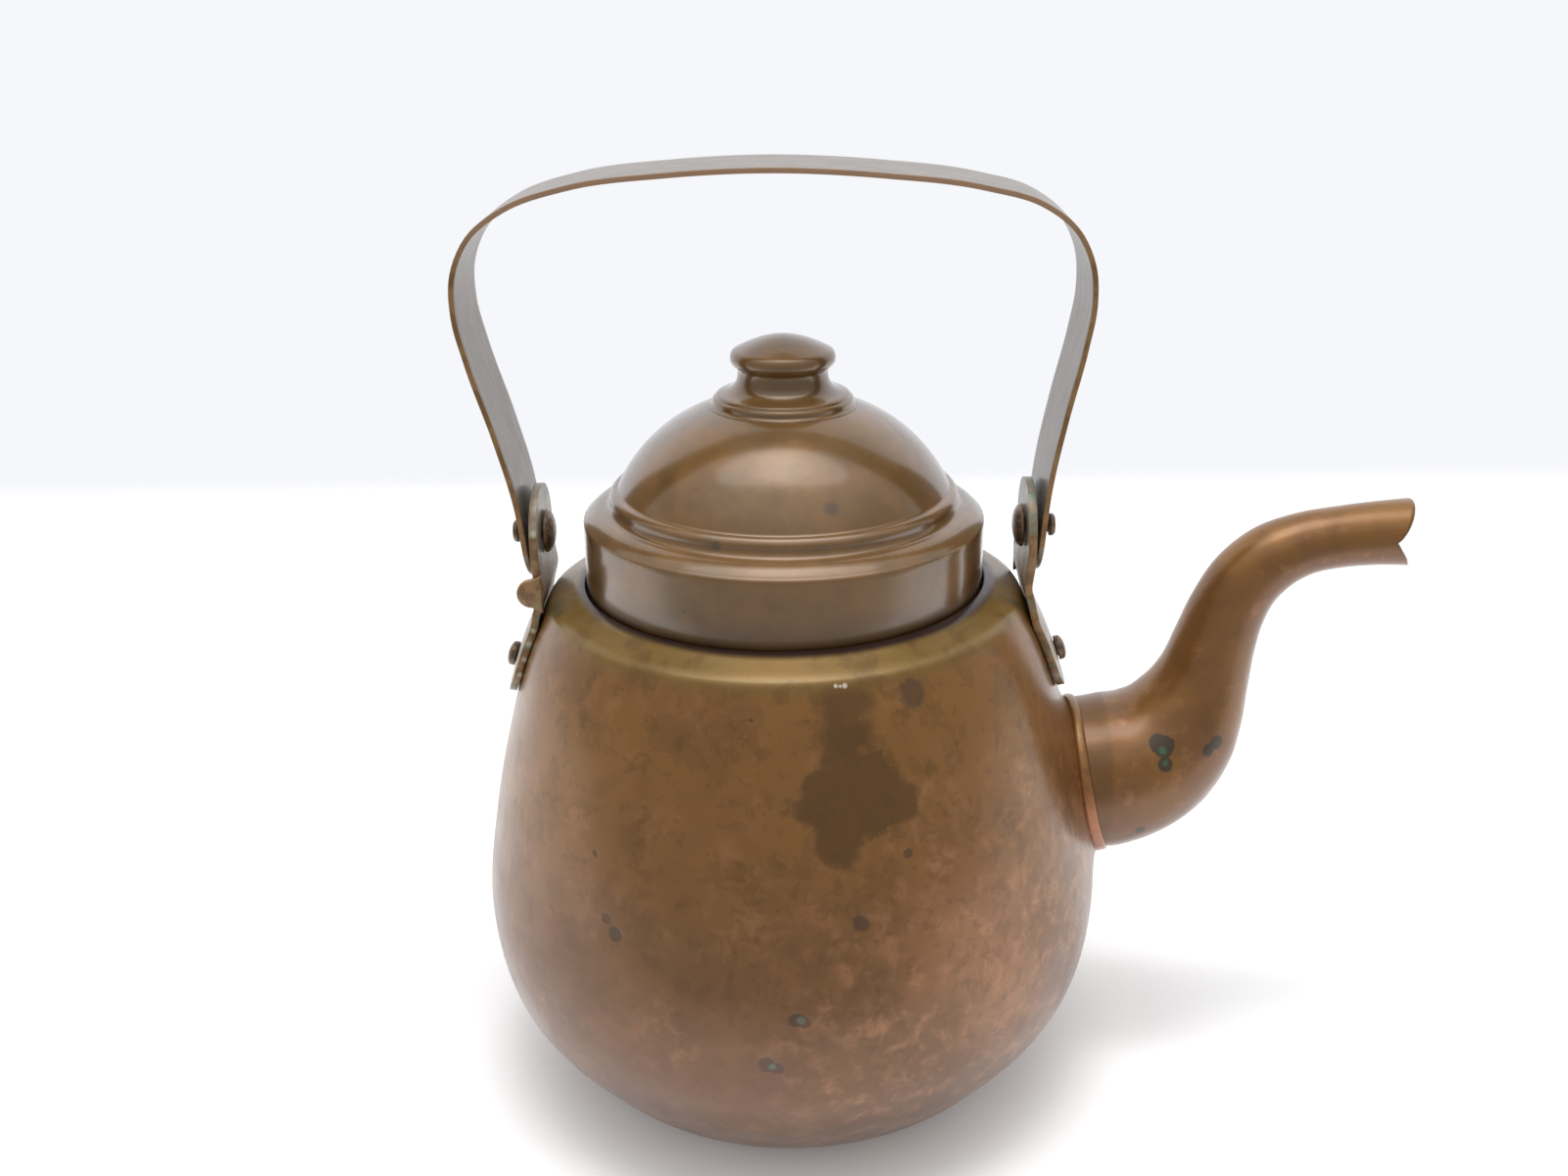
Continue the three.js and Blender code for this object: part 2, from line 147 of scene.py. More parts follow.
class KettleFinish(bpy.types.PropertyGroup):
    brown: tone("Brown", "Brown patina on the upper body", "#8d622f")
    rose: tone("Rose", "Pinker brown low on the body", "#6e482e")
    umber: tone("Umber", "Darker stains in the patina", "#5d3f17")
    bright: tone("Bright", "Thin patina where copper shows", "#bb855f")
    ochre: tone("Ochre", "Yellowish patina on the lid", "#694a1b")
    ridge: tone("Ridge", "Yellowish patina on the shoulder", "#80662f")
    strap: tone("Strap", "Worn grey-brown faces of the strap", "#7b7065")
    worn: tone("Worn edge", "Edge of the strap where a hand holds it", "#b29176")
    bronze: tone("Bronze", "Cut edges of strap and ears", "#a07c52")
    ear: tone("Ear", "Dull brown faces of the ears", "#a08e78")
    braze: tone("Braze", "Bright copper of the brazed collar", "#a86943")
    rivet: tone("Rivet", "Oxide on the rivets", "#5c4a38")
    dark: tone("Dark", "Black oxide in pits", "#3a2e24")
    verdigris: tone("Verdigris", "Green corrosion", "#6f8f7c")
    tin: tone("Tin", "Dull tinned lining", "#8f8d86")
    brass: tone("Brass", "Turned brass of the knob's screw", "#a08548")
    floor: tone("Floor", "Pale cloth under the kettle", "#e2e2e2")


class KettleStage(bpy.types.PropertyGroup):
    lamp: FloatProperty(name="Lamp", description="Power of the overhead lamps in watts", default=6.4,
                        unit="POWER")
    sky: FloatProperty(name="Sky", description="Brightness of the white surroundings", default=1.0)
    lens: FloatProperty(name="Lens", description="Focal length of the camera in millimetres", default=37.1,
                        unit="CAMERA")
    soft_edge: BoolProperty(name="Soft floor edge", description="Lets the floor fade out at its rim",
                            default=True)


# ---------------------------------------------------------------- lines and meshes

def through(points, spacing):
    """A smooth line through the given points, with a point about every spacing."""
    knots = [Vector(p) for p in points]
    gaps = [(b - a).length for a, b in zip(knots, knots[1:])]
    slopes = [(b - a) / gap for a, b, gap in zip(knots, knots[1:], gaps)]
    inner = [(slopes[i - 1] * gaps[i] + slopes[i] * gaps[i - 1]) / (gaps[i - 1] + gaps[i])
             for i in range(1, len(gaps))]
    tangents = [2 * slopes[0] - inner[0], *inner, 2 * slopes[-1] - inner[-1]]
    line = []
    for a, b, ta, tb, gap in zip(knots, knots[1:], tangents, tangents[1:], gaps):
        steps = max(2, round(gap / spacing))
        for i in range(steps):
            t = i / steps
            line.append(a * (2 * t**3 - 3 * t**2 + 1) + ta * gap * (t**3 - 2 * t**2 + t)
                        + b * (3 * t**2 - 2 * t**3) + tb * gap * (t**3 - t**2))
    return [tuple(p) for p in [*line, knots[-1]]]


def arc(centre, radius, start, end, steps):
    """Points [radius, height] round a centre; an angle of 0 points up the axis."""
    angles = [start + (end - start) * i / steps for i in range(steps + 1)]
    return [(centre[0] + radius * sin(a), centre[1] + radius * cos(a)) for a in angles]


def moved_in(line, distance):
    """The line moved sideways, to the right of the way it runs."""
    moved = []
    for i, (a, b) in enumerate(line):
        before, after = line[max(i - 1, 0)], line[min(i + 1, len(line) - 1)]
        run = (after[0] - before[0], after[1] - before[1])
        moved.append((a + distance * run[1] / hypot(*run), b - distance * run[0] / hypot(*run)))
    return moved


def piece(name, points, faces):
    """An object in metres from points in millimetres."""
    mesh = bpy.data.meshes.new(name)
    mesh.from_pydata([Vector(p) * MM for p in points], [], faces)
    work = bmesh.new()
    work.from_mesh(mesh)
    bmesh.ops.remove_doubles(work, verts=work.verts, dist=0.001 * MM)
    bmesh.ops.recalc_face_normals(work, faces=work.faces)
    for face in work.faces:
        face.smooth = True
    work.to_mesh(mesh)
    work.free()
    made = bpy.data.objects.new(name, mesh)
    bpy.context.scene.collection.objects.link(made)
    return made


def rings(name, rows, loop=False):
    """A skin over rings of points that have the same count. With loop, the last ring joins the first."""
    count = len(rows[0])
    faces = []
    for i in range(len(rows) if loop else len(rows) - 1):
        low, high = i * count, (i + 1) % len(rows) * count
        faces += [(low + j, low + (j + 1) % count, high + (j + 1) % count, high + j) for j in range(count)]
    return piece(name, [p for row in rows for p in row], faces)


def turned(name, profile, sides, frame_of=None):
    """Turns a profile of [radius, height] points about +Z, or about the axis of a matrix."""
    rows = []
    for radius, height in profile:
        rows.append([(radius * cos(2 * pi * j / sides), radius * sin(2 * pi * j / sides), height)
                     for j in range(sides)])
    if frame_of is not None:
        rows = [[frame_of @ Vector(p) for p in row] for row in rows]
    return rings(name, rows, loop=profile[0][0] > 0)


def shaped(made, kind, **settings):
    """Applies a modifier to a piece."""
    modifier = made.modifiers.new(kind.title(), kind)
    for key, value in settings.items():
        setattr(modifier, key, value)
    bpy.context.view_layer.update()
    result = bpy.data.meshes.new_from_object(made.evaluated_get(bpy.context.evaluated_depsgraph_get()))
    made.modifiers.clear()
    old, made.data = made.data, result
    bpy.data.meshes.remove(old)
    return made


def edged(made, width):
    """Rounds the sharp edges of a piece."""
    return shaped(made, "BEVEL", width=width, segments=2, limit_method="ANGLE", angle_limit=radians(50))


def plate(name, line, widths, thickness, edge, bow=None, columns=14):
    """A strip of sheet along a line in X and Z, as wide as each station says, with rounded cut edges."""
    points = []
    for (x, z), half in zip(line, widths):
        for j in range(columns + 1):
            y = half * (2 * j / columns - 1)
            points.append((x + (bow(y, z) if bow else 0), y, z))
    row = columns + 1
    faces = [(i * row + j, i * row + j + 1, (i + 1) * row + j + 1, (i + 1) * row + j)
             for i in range(len(line) - 1) for j in range(columns)]
    made = piece(name, points, faces)
    shaped(made, "SOLIDIFY", thickness=thickness * MM, offset=0, use_even_offset=True)
    return edged(made, edge)


def slab(name, outline, low, high, edge):
    """An outline in X and Z, carried along Y from low to high, with rounded edges."""
    count = len(outline)
    points = [(x, y, z) for y in (low, high) for x, z in outline]
    faces = [tuple(range(count)), tuple(range(2 * count - 1, count - 1, -1))]
    faces += [(j, (j + 1) % count, count + (j + 1) % count, count + j) for j in range(count)]
    made = piece(name, points, faces)
    return edged(made, edge)


def joined(made, *others):
    """The other pieces' meshes become part of the first one's."""
    work = bmesh.new()
    work.from_mesh(made.data)
    for other in others:
        work.from_mesh(other.data)
        bpy.data.objects.remove(other)
    work.to_mesh(made.data)
    work.free()
    return made


def eased(value, start, end):
    """0 before start, 1 after end, and a soft step between."""
    share = min(max((value - start) / (end - start), 0), 1)
    return share * share * (3 - 2 * share)


def fitted(made, make, body, slot, *nodes, sunk=False):
    """Gives a piece its finish, its body and the CAD nodes that it stands for. First it takes the shape of
    an old kettle: the upper part leans away from the spout, and a sunk piece is lower at the rear."""
    sizes = bpy.context.scene.kettle_sizes
    for vertex in made.data.vertices:
        x, y, z = vertex.co / MM
        share = eased(z, *GIVES["height"]) * (1 - eased(x, *GIVES["reach"]))
        vertex.co.x -= sizes.settle * share
        if sunk:
            vertex.co.z -= sizes.sink * share * eased(y, *GIVES["depth"])
    made.data.materials.clear()
    made.data.materials.append(finish_of(make))
    for face in made.data.polygons:
        face.use_smooth = True
    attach(made, body)
    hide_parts(*nodes)
    return made


# ---------------------------------------------------------------- shader nodes and patterns

def add(tree, kind, inputs=None, out=0, **settings):
    """Adds a node with its settings, values and links, and gives back one of its outputs."""
    node = tree.nodes.new("ShaderNode" + kind)
    for key, value in settings.items():
        setattr(node, key, value)
    for key, value in (inputs or {}).items():
        if isinstance(value, bpy.types.NodeSocket):
            tree.links.new(value, node.inputs[key])
        else:
            node.inputs[key].default_value = value
    return node.outputs[out] if node.outputs else node


SMOOTH = {"interpolation_type": "SMOOTHSTEP"}


def layered(tree, base, *layers):
    """A base colour with other colours laid over it in turn, each by a share from 0 to 1."""
    for share, over in layers:
        base = add(tree, "Mix", {0: share, 6: base, 7: over}, 2, data_type="RGBA")
    return base


def blotches(tree, place, size, low, high, to=1.0, start=0.0, detail=3.0, warp=0.0, seed=0.0):
    """Patches about size millimetres across: one value between them, rising softly to another inside."""
    noise = add(tree, "TexNoise", {"Vector": place, "W": seed, "Scale": 1 / (size * MM), "Detail": detail,
                                   "Roughness": 0.6, "Distortion": warp}, noise_dimensions="4D")
    return add(tree, "MapRange", {"Value": noise, "From Min": low, "From Max": high, "To Min": start,
                                  "To Max": to}, **SMOOTH)


def along(tree, place, axis, start, end, to=1.0):
    """0 at one distance along an axis, in millimetres, rising softly to a value at another."""
    way = add(tree, "SeparateXYZ", {0: place}, axis)
    return add(tree, "MapRange", {"Value": way, "From Min": start * MM, "From Max": end * MM, "To Max": to},
               **SMOOTH)


def around(tree, place, start, end, least=0.0, most=1.0):
    """One value at a radius about the kettle's axis, in millimetres, going softly to another value."""
    flat = add(tree, "VectorMath", {0: place, 1: (1, 1, 0)}, operation="MULTIPLY")
    radius = add(tree, "VectorMath", {0: flat}, "Value", operation="LENGTH")
    return add(tree, "MapRange", {"Value": radius, "From Min": start * MM, "From Max": end * MM,
                                  "To Min": least, "To Max": most}, **SMOOTH)


def cut_edges(tree, place):
    """1 on the cut long edges of the strap and the ears, and 0 on their faces."""
    side = add(tree, "Math", {0: add(tree, "SeparateXYZ", {0: place}, "Y")}, operation="ABSOLUTE")
    return add(tree, "MapRange", {"Value": side, "From Min": (HALF_WIDTH - 0.32) * MM,
                                  "From Max": (HALF_WIDTH - 0.12) * MM}, **SMOOTH)


def spots(tree, place, marks, ragged=0.35, to=1.0):
    """Stains round given points. Each mark is a centre, a radius and a soft rim, in millimetres."""
    rough = add(tree, "TexNoise", {"Vector": place, "Scale": 1 / (2.5 * MM), "Detail": 4.0})
    total = 0.0
    for centre, radius, soft in marks:
        away = add(tree, "VectorMath", {0: place, 1: Vector(centre) * MM}, "Value", operation="DISTANCE")
        edge = add(tree, "Math", {0: rough, 1: ragged * radius * MM, 2: away}, operation="MULTIPLY_ADD")
        outer = radius * (1 + ragged / 2)
        mark = add(tree, "MapRange", {"Value": edge, "From Min": (outer + soft) * MM,
                                      "From Max": (outer - soft) * MM, "To Max": to}, **SMOOTH)
        total = add(tree, "Math", {0: total, 1: mark}, operation="MAXIMUM")
    return total


# ---------------------------------------------------------------- finishes

def spun_copper_brown_patina(tree, place, finish):
    """Spun copper under an old handled patina: brown above, rosier and speckled with bare copper below.
    The thick oxide hides most of the metal, and its glassy surface gives white, soft reflections."""
    low = add(tree, "Math", {0: along(tree, place, "Z", 92, 30, 0.75),
                             1: blotches(tree, place, 30, 0.42, 0.62, 0.25, seed=2.0)}, operation="ADD")
    # bare copper speckle, strongest low on the right
    right = add(tree, "Math", {0: along(tree, place, "X", -30, 40), 1: along(tree, place, "Z", 100, 62)},
                operation="MULTIPLY")
    strong = add(tree, "Math",
                 {0: right, 1: blotches(tree, place, 11, 0.46, 0.62, 0.55, detail=2.0, seed=8.0)},
                 operation="ADD")
    speckle = blotches(tree, place, 4.2, 0.44, 0.7, 0.42, detail=5.0, warp=0.3, seed=1.0)
    bare = add(tree, "Math", {0: speckle, 1: strong}, operation="MULTIPLY")
    # the large stain that has run down from the ridge
    stain = spots(tree, place, [((13, -53.5, 87.5), 8.5, 1.2), ((8, -54.5, 86.5), 6, 1.2),
                                ((10.9, -49.8, 98), 5, 2.0), ((10.9, -48.5, 103), 5, 2.0),
                                ((10.5, -52.6, 93.5), 4.6, 1.5), ((10, -56.8, 79.5), 4.5, 1.0),
                                ((20, -51.8, 85), 4.5, 1.0)], 0.9, 0.8)
    # painted shade in the corner under the lid, where the lid's skirt goes down into the mouth
    painted_crevice_shade = add(tree, "Math", {0: around(tree, place, 43, 41.4), 1: along(tree, place, "Z", 106, 109)},
                operation="MULTIPLY")
    # corroded spots, dents and chips
    pits = spots(tree, place, [((1.7, -64.4, 47.5), 1.5, 0.3), ((3.2, -64.4, 46.8), 1.1, 0.3),
                               ((-3.9, -64.9, 37.7), 1.6, 0.3), ((-2.0, -64.9, 36.9), 1.3, 0.3),
                               ((-5.8, -50.2, 100.7), 0.5, 0.2), ((-35.2, -47.8, 72.7), 0.8, 0.3),
                               ((22, -54.2, 75.9), 1.0, 0.3), ((13.4, -59.8, 64.8), 1.6, 0.5),
                               ((23.2, -43.8, 102.9), 2.6, 0.8), ((-43, -47.3, 28.6), 0.4, 0.2),
                               ((-33.5, -52.2, 61.5), 1.1, 0.4), ((-31.7, -53.9, 59), 1.3, 0.4)], 1.0, 0.6)
    green = spots(tree, place, [((2.4, -64.4, 47.2), 0.8, 0.3), ((-3, -64.9, 37.2), 0.7, 0.3)],
                  0.8, 0.4)
    damp = spots(tree, place, [((-45.6, -11.5, 107), 2.2, 1.5), ((-44.5, -15, 107.5), 1.4, 1.0),
                               ((45.6, -11.5, 107), 1.6, 1.2)], 0.9, 0.7)
    chips = spots(tree, place, [((11, -47, 105.9), 0.5, 0.2), ((9.4, -47.2, 106), 0.35, 0.15),
                                ((10.2, -47.1, 105.9), 0.3, 0.15)],
                  1.8, 0.8)
    base = layered(tree, finish.brown, (low, finish.rose),
                   (blotches(tree, place, 24, 0.50, 0.68, 0.35, warp=0.4, seed=5.0), finish.umber),
                   (spots(tree, place, [((34, -54, 56), 13, 10), ((40, -50, 42), 10, 8)], 0.5, 0.35),
                    finish.bright),
                   (bare, finish.bright),
                   (blotches(tree, place, 3.2, 0.56, 0.60, 0.3, detail=5.0, warp=0.3, seed=3.0),
                    finish.umber),
                   (blotches(tree, place, 7, 0.54, 0.575, 0.24, detail=5.0, warp=0.6, seed=4.0),
                    finish.umber),
                   (stain, finish.umber), (along(tree, place, "Z", 103.5, 107.2, 0.8), finish.ridge),
                   (add(tree, "Math", {0: along(tree, place, "Z", 104, 107),
                                       1: blotches(tree, place, 7, 0.5, 0.62, 0.45, detail=4.0, seed=7.0)},
                        operation="MULTIPLY"), finish.umber), (damp, colour("#48503f")),
                   # the corner under the lid is darkened with painted shade
                   (painted_crevice_shade, colour("#2c1510")), (pits, finish.dark), (green, finish.verdigris),
                   (chips, colour("#f0e2d0")))
    dents = add(tree, "Bump", {"Height": blotches(tree, place, 26, 0.2, 0.8, detail=1.0, seed=9.0),
                               "Distance": 0.35 * MM})
    fine = add(tree, "Bump", {"Height": speckle, "Strength": 0.5, "Distance": 0.02 * MM, "Normal": dents})
    sunk = add(tree, "Bump", {"Height": pits, "Distance": 0.15 * MM, "Normal": fine}, invert=True)
    return add(tree, "BsdfPrincipled", {
        "Base Color": base, "Roughness": blotches(tree, place, 9, 0.35, 0.65, 0.42, 0.32, seed=6.0),
        "Normal": sunk, "Metallic": 0.5, "Coat Weight": 0.5, "Coat Roughness": 0.2, "Coat IOR": 1.6})


def spun_copper_ochre_patina(tree, place, finish):
    """Spun copper kept smooth by handling: an even ochre-brown patina, glossier than the body,
    so that a lamp shows as a soft white pool."""
    pits = spots(tree, place, [((-3.5, -26, 137.6), 0.35, 0.15), ((-12, -32.5, 127.4), 0.9, 0.3),
                               ((-18, -36, 116), 0.5, 0.3), ((9, -29, 133), 1.3, 0.6)], 0.6, 0.6)
    base = layered(tree, finish.ochre, (blotches(tree, place, 16, 0.42, 0.62, 0.5, seed=1.0), finish.brown),
                   (blotches(tree, place, 6, 0.55, 0.68, 0.4, detail=4.0, warp=0.5, seed=2.0), finish.umber),
                   (blotches(tree, place, 2.2, 0.55, 0.7, 0.25, detail=4.0, seed=3.0), finish.ridge),
                   # painted dark reflection: the skirt turns darker brown toward its foot, where it mirrors
                   # the brown shoulder
                   (along(tree, place, "Z", 118, 109, 0.6), colour("#49331f")), (pits, finish.dark))
    soft = add(tree, "Bump", {"Height": blotches(tree, place, 14, 0.2, 0.8, detail=1.0, seed=5.0),
                              "Distance": 0.1 * MM})
    return add(tree, "BsdfPrincipled", {
        "Base Color": base, "Roughness": blotches(tree, place, 8, 0.35, 0.65, 0.4, 0.3, seed=4.0),
        "Normal": soft, "Metallic": 0.3, "Coat Weight": 1.0, "Coat Roughness": 0.15, "Coat IOR": 1.75})


def drawn_copper_brown_patina(tree, place, finish):
    """Copper tube drawn and bent by hand: smooth brown patina, rosier underneath, with a few dark
    corroded spots."""
    up = add(tree, "SeparateXYZ", {0: add(tree, "TexCoord", out="Normal")}, "Z")
    under = add(tree, "MapRange", {"Value": up, "From Min": 0.5, "From Max": -0.5, "To Max": 0.7}, **SMOOTH)
    stains = spots(tree, place, [((76.2, -12.8, 75.6), 2.5, 0.25), ((76.8, -14.0, 72.2), 1.5, 0.25),
                                 ((87.6, -11.5, 75.4), 1.5, 0.3), ((85.9, -12.4, 74.2), 1.4, 0.3),
                                 ((72.8, -14, 56.5), 1.2, 0.4), ((71, -14.5, 54.6), 1.0, 0.4),
                                 ((63, -9, 84.2), 0.9, 0.4), ((66.8, -15, 80.5), 0.3, 0.1),
                                 ((89, -8, 107), 0.35, 0.1), ((84.7, -9.5, 95.5), 0.3, 0.1)], 1.1, 0.85)
    teal = spots(tree, place, [((76.2, -13, 74.6), 0.8, 0.3), ((76.8, -14, 72.4), 0.6, 0.3)], 0.9, 0.6)
    base = layered(tree, finish.brown, (under, finish.rose),
                   (blotches(tree, place, 14, 0.42, 0.62, 0.5, warp=0.4, seed=2.0), finish.rose),
                   (blotches(tree, place, 9, 0.55, 0.68, 0.3, seed=1.0), finish.umber),
                   (blotches(tree, place, 3, 0.55, 0.7, 0.25, detail=4.0, seed=4.0), finish.bright),
                   (along(tree, place, "X", 67, 65.5, 0.4), finish.umber), (stains, colour("#35332a")),
                   (teal, colour("#3f7a68")))
    soft = add(tree, "Bump", {"Height": blotches(tree, place, 12, 0.2, 0.8, detail=1.0, seed=5.0),
                              "Distance": 0.15 * MM})
    return add(tree, "BsdfPrincipled", {
        "Base Color": base, "Roughness": blotches(tree, place, 7, 0.35, 0.65, 0.4, 0.3, seed=6.0),
        "Normal": soft, "Metallic": 0.5, "Coat Weight": 0.5, "Coat Roughness": 0.2, "Coat IOR": 1.6})


def filed_brazed_copper(tree, place, finish):
    """The filed seam of the spout: orange where it was filed bright below, brown above."""
    scratches = blotches(tree, place, 0.9, 0.3, 0.7, detail=4.0, warp=1.0)
    base = layered(tree, finish.brown, (along(tree, place, "Z", 74, 58), finish.braze),
                   (blotches(tree, place, 2.5, 0.5, 0.65, 0.35, detail=4.0), finish.umber))
    return add(tree, "BsdfPrincipled", {
        "Base Color": base, "Roughness": blotches(tree, place, 2, 0.3, 0.7, 0.42, 0.28, detail=4.0),
        "Normal": add(tree, "Bump", {"Height": scratches, "Distance": 0.05 * MM}),
        "Metallic": 0.6, "Coat Weight": 0.6, "Coat Roughness": 0.22, "Coat IOR": 1.6})


def rolled_copper_strap(tree, place, finish):
    """Rolled copper strap: worn grey-brown faces with fine lengthwise rolling marks, and cut edges
    that keep a warmer bronze and are worn pale where a hand holds them."""
    rim = layered(tree, finish.bronze, (blotches(tree, place, 5, 0.4, 0.6, 0.5), finish.umber),
                  (along(tree, place, "Z", 172, 184, 0.9), finish.worn))
    base = layered(tree, finish.strap,
                   (blotches(tree, place, 9, 0.4, 0.62, 0.6, detail=4.0), colour("#6c6257")),
                   (blotches(tree, place, 2.4, 0.52, 0.68, 0.4, detail=5.0, seed=2.0), colour("#9c8b79")),
                   (cut_edges(tree, place), rim))
    stretched = add(tree, "Mapping", {"Vector": place, "Scale": (1, 12, 1)})
    grain = blotches(tree, stretched, 8, 0.3, 0.7, detail=4.0)
    return add(tree, "BsdfPrincipled", {
        "Base Color": base, "Roughness": blotches(tree, stretched, 8, 0.3, 0.7, 0.42, 0.3, detail=4.0),
        "Normal": add(tree, "Bump", {"Height": grain, "Distance": 0.02 * MM}),
        "Metallic": 0.55, "Coat Weight": 0.4, "Coat Roughness": 0.25, "Coat IOR": 1.5})


def stamped_copper_verdigris(tree, place, finish):
    """Stamped copper plate that is never polished: dull brown, grey-green where water sits."""
    rim = layered(tree, finish.bronze, (blotches(tree, place, 3, 0.42, 0.6, 0.6), finish.umber))
    chalk = spots(tree, place, [((-55.6, -10, 88.5), 0.5, 0.3), ((-54.4, -10, 91.8), 0.6, 0.3),
                                ((-53.2, -10, 95.2), 0.6, 0.3), ((-52, -10, 98.6), 0.6, 0.3),
                                ((-51, -10, 101.6), 0.6, 0.3), ((-49.4, -9.5, 122), 0.7, 0.4)], 1.2, 0.8)
    wet = add(tree, "Math", {0: along(tree, place, "Z", 112, 104), 1: along(tree, place, "Z", 118, 126)},
              operation="MAXIMUM")
    damp = add(tree, "Math", {0: wet, 1: blotches(tree, place, 3.5, 0.5, 0.62, 0.8, detail=5.0, warp=0.6,
                                                  seed=3.0)}, operation="MULTIPLY")
    base = layered(tree, finish.ear, (blotches(tree, place, 6, 0.4, 0.62, 0.5, detail=4.0), finish.umber),
                   (cut_edges(tree, place), rim), (damp, finish.verdigris), (chalk, colour("#c9d2bb")))
    return add(tree, "BsdfPrincipled", {
        "Base Color": base,
        "Roughness": blotches(tree, place, 3, 0.35, 0.65, 0.5, 0.36, detail=4.0, seed=3.0),
        "Normal": add(tree, "Bump", {"Height": blotches(tree, place, 2, 0.3, 0.7, detail=5.0, seed=5.0),
                                     "Distance": 0.06 * MM}),
        "Metallic": 0.35, "Coat Weight": 0.6, "Coat Roughness": 0.3, "Coat IOR": 1.6})


def oxidised_copper_rivet(tree, place, finish):
    """Hammered copper rivet, dark with oxide, with worn brown high spots."""
    base = layered(tree, finish.rivet,
                   (blotches(tree, place, 1.6, 0.45, 0.65, 0.8, detail=4.0), finish.bronze),
                   (blotches(tree, place, 1.1, 0.6, 0.7, 0.5, detail=4.0, seed=4.0), finish.verdigris))
    hammered = blotches(tree, place, 1.4, 0.3, 0.7, detail=2.0, seed=2.0)
    return add(tree, "BsdfPrincipled", {
        "Base Color": base,
        "Roughness": blotches(tree, place, 1.4, 0.3, 0.7, 0.48, 0.34, detail=2.0, seed=2.0),
        "Normal": add(tree, "Bump", {"Height": hammered, "Distance": 0.12 * MM}),
        "Metallic": 0.4, "Coat Weight": 0.7, "Coat Roughness": 0.25, "Coat IOR": 1.6})


def hot_tinned_copper(tree, place, finish):
    """Hot-tinned copper: dull grey with wiped streaks and warm copper showing through."""
    base = layered(tree, finish.tin,
                   (blotches(tree, place, 5, 0.4, 0.65, 0.8, detail=4.0), colour("#6d655a")),
                   (blotches(tree, place, 2, 0.6, 0.7, 0.6, seed=3.0), finish.bright))
    wiped = blotches(tree, place, 3, 0.3, 0.7, detail=4.0, seed=2.0)
    return add(tree, "BsdfPrincipled", {
        "Base Color": base, "Roughness": blotches(tree, place, 3, 0.3, 0.7, 0.6, 0.4, detail=4.0, seed=2.0),
        "Normal": add(tree, "Bump", {"Height": wiped, "Distance": 0.05 * MM}), "Metallic": 1.0})


def turned_tarnished_brass(tree, place, finish):
    """Turned brass, slightly tarnished, with fine tool rings."""
    base = layered(tree, finish.brass,
                   (blotches(tree, place, 2, 0.4, 0.65, 0.8, detail=4.0), colour("#6f5a30")))
    tool = blotches(tree, place, 0.8, 0.3, 0.7, detail=2.0)
    return add(tree, "BsdfPrincipled", {
        "Base Color": base, "Roughness": blotches(tree, place, 0.8, 0.3, 0.7, 0.45, 0.3, detail=2.0),
        "Normal": add(tree, "Bump", {"Height": tool, "Distance": 0.03 * MM}), "Metallic": 1.0})


made_finishes = {}


def finish_of(make):
    """The material whose shader a function makes from a place in object coordinates. It is made once."""
    if make not in made_finishes:
        material = bpy.data.materials.new(make.__name__)
        material.use_nodes = True
        tree = material.node_tree
        tree.nodes.clear()
        shader = make(tree, add(tree, "TexCoord", out="Object"), bpy.context.scene.kettle_finish)
        add(tree, "OutputMaterial", {"Surface": shader})
        made_finishes[make] = material
    return made_finishes[make]


# ---------------------------------------------------------------- body

belly_line = through(BELLY, 1.2)
body_line = [*arc((40.6, 0.8), 0.8, pi, 0.62 * pi, 4), *belly_line, (43, 109.0), MOUTH]


def body_radius(height):
    """Radius of the body's outer surface at a height."""
    for (r0, z0), (r1, z1) in zip(belly_line, belly_line[1:]):
        if z0 <= height <= z1:
            return r0 + (r1 - r0) * (height - z0) / (z1 - z0)
    return belly_line[0][0] if height < belly_line[0][1] else belly_line[-1][0]


def turned_body(sides):
    """The spun shell, with the hole that the spout opens into."""
    inside = moved_in(body_line, -WALL)
    inside = [(r, max(z, WALL)) for r, z in inside][:-1]
    lip = [(MOUTH[0] - 0.35, MOUTH[1] - 0.05), (MOUTH[0] - 0.5, MOUTH[1] - 0.4),
           (MOUTH[0] - 0.45, MOUTH[1] - 0.9)]
    shell = turned("kettle_body", [(0, 0), *body_line, *lip, *reversed(inside), (0, WALL)], sides)
    start = spout_axis_matrix(30)
    cutter = turned("hole_cutter", [(0, 0), (SPOUT_RADIUS - 1.2, 0), (SPOUT_RADIUS - 1.2, 50), (0, 50)], 96,
                    start)
    shaped(shell, "BOOLEAN", operation="DIFFERENCE", solver="EXACT", object=cutter)
    bpy.data.objects.remove(cutter)
    return shell


def spout_axis_matrix(x):
    """A frame whose Z runs along the spout's straight root, with its origin on the root line at x."""
    (x0, _, z0), (x1, _, z1) = SPOUT[0], SPOUT[1]
    along = Vector((x1 - x0, 0, z1 - z0)).normalized()
    side = Vector((0, 1, 0))
    up = along.cross(side)
    turn = Matrix((up, side, along)).transposed().to_4x4()
    height = z0 + (z1 - z0) * (x - x0) / (x1 - x0)
    return Matrix.Translation((x, 0, height)) @ turn


def root_ring(radius, lift, sides=128, fall=0.0):
    """A ring round the spout's root, at one distance off the body. A fall brings its foot nearer."""
    root = spout_axis_matrix(SPOUT[0][0])
    ring = []
    for j in range(sides):
        angle = 2 * pi * j / sides
        reach = 10.0
        for _ in range(ROOT_PASSES):
            point = root @ Vector((radius * cos(angle), radius * sin(angle), reach))
            off = hypot(point.x, point.y) - body_radius(point.z)
            reach += lift - fall * (1 - cos(angle)) / 2 - off
        ring.append(point)
    return ring


